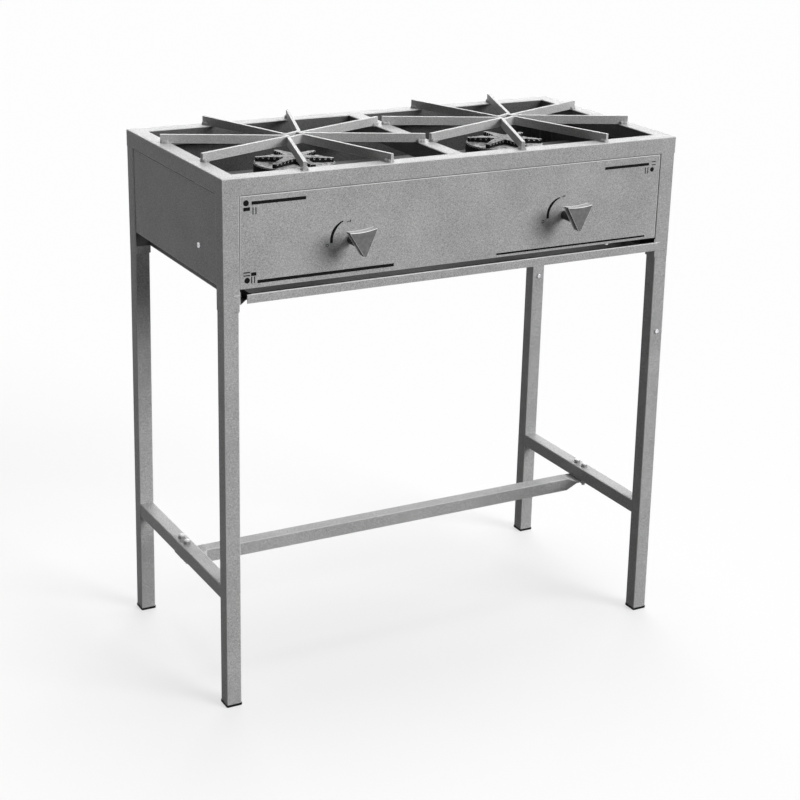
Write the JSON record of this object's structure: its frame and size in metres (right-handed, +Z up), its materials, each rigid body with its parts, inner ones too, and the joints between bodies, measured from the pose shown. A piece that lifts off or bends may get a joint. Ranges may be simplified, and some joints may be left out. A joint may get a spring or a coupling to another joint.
{
  "type": "stock pot range",
  "caption": "Low open gas range for large pots: square tube stand, welded flat bar pot supports over cast burners, folded front panel with lobed knobs, pull-out drip tray.",
  "frame": {"origin": "on the floor, at the middle of the rectangle of the legs, below the centre divider", "axes": "+Z up; +X to the right seen from the front; +Y to the rear, knobs and drip tray on the -Y side"},
  "size_m": [0.7626, 0.4535, 0.8127],
  "materials": {
    "frame_paint": "hammered silver grey paint",
    "grate_paint": "silver grey paint on bare flat bar",
    "cast_iron": "black, worn light on the rims",
    "black_plastic": "matte",
    "knob_metal": "die cast, satin grey",
    "zinc_steel": "zinc plated",
    "bare_tube": "galvanised",
    "brass": "machined"
  },
  "bodies": {
    "frame": {"burner_bowl_left": "cast_iron", "burner_bowl_right": "cast_iron", "burner_carrier_front": "frame_paint", "burner_carrier_rear": "frame_paint", "centre_divider": "frame_paint", "crossbar": "frame_paint", "crossbar_bolts": "zinc_steel", "crossbar_nuts": "zinc_steel", "front_left_foot_cap": "black_plastic", "front_left_leg": "frame_paint", "front_left_post": "frame_paint", "front_panel": "frame_paint", "front_right_foot_cap": "black_plastic", "front_right_leg": "frame_paint", "front_right_post": "frame_paint", "front_top_rail": "frame_paint", "gas_pipe": "zinc_steel", "grate_left": "grate_paint", "grate_right": "grate_paint", "hose_nozzle": "brass", "jet_left": "brass", "jet_right": "brass", "left_panel": "frame_paint", "left_top_rail": "frame_paint", "leg_screws": "zinc_steel", "leg_spigots": "bare_tube", "panel_screw": "zinc_steel", "pipe_bracket": "zinc_steel", "rear_left_foot_cap": "black_plastic", "rear_left_leg": "frame_paint", "rear_left_post": "frame_paint", "rear_panel": "frame_paint", "rear_right_foot_cap": "black_plastic", "rear_right_leg": "frame_paint", "rear_right_post": "frame_paint", "rear_top_rail": "frame_paint", "right_panel": "frame_paint", "right_top_rail": "frame_paint", "side_rail_left": "frame_paint", "side_rail_right": "frame_paint", "tray_runner_left": "frame_paint", "tray_runner_right": "frame_paint", "valve_left": "brass", "valve_right": "brass"},
    "drip_tray": {"drip_tray": "frame_paint"},
    "knob_left": {"knob_left": "knob_metal", "valve_stem_left": "zinc_steel"},
    "knob_right": {"knob_right": "knob_metal", "valve_stem_right": "zinc_steel"},
    "burner_cap_left": {"burner_cap_left": "cast_iron"},
    "burner_cap_right": {"burner_cap_right": "cast_iron"},
    "air_shutter_left": {"air_shutter_left": "zinc_steel"},
    "air_shutter_right": {"air_shutter_right": "zinc_steel"}
  },
  "joints": [
    {"name": "knob_left_turn", "type": "hinge", "parent": "frame", "child": "knob_left", "pos_m": [-0.1816, -0.2291, 0.6975], "axis": [0, -1, 0], "range_deg": [-4.4, 85.6]},
    {"name": "knob_right_turn", "type": "hinge", "parent": "frame", "child": "knob_right", "pos_m": [0.1766, -0.2291, 0.6975], "axis": [0, -1, 0], "range_deg": [-1.4, 88.6]},
    {"name": "burner_cap_left_lift", "type": "slide", "parent": "frame", "child": "burner_cap_left", "axis": [0, 0, 1], "range_m": [0, 0.015]},
    {"name": "burner_cap_right_lift", "type": "slide", "parent": "frame", "child": "burner_cap_right", "axis": [0, 0, 1], "range_m": [0, 0.015]},
    {"name": "air_shutter_left_turn", "type": "hinge", "parent": "frame", "child": "air_shutter_left", "pos_m": [-0.1816, -0.112, 0.6975], "axis": [-0.0063, 1, 0], "range_deg": [0, 45]},
    {"name": "air_shutter_right_turn", "type": "hinge", "parent": "frame", "child": "air_shutter_right", "pos_m": [0.1766, -0.11185, 0.6975], "axis": [0.0509, 0.9987, 0], "range_deg": [0, 45]},
    {"name": "drip_tray_slide", "type": "slide", "parent": "frame", "child": "drip_tray", "axis": [0, -1, 0], "range_m": [0, 0.28]}
  ]
}
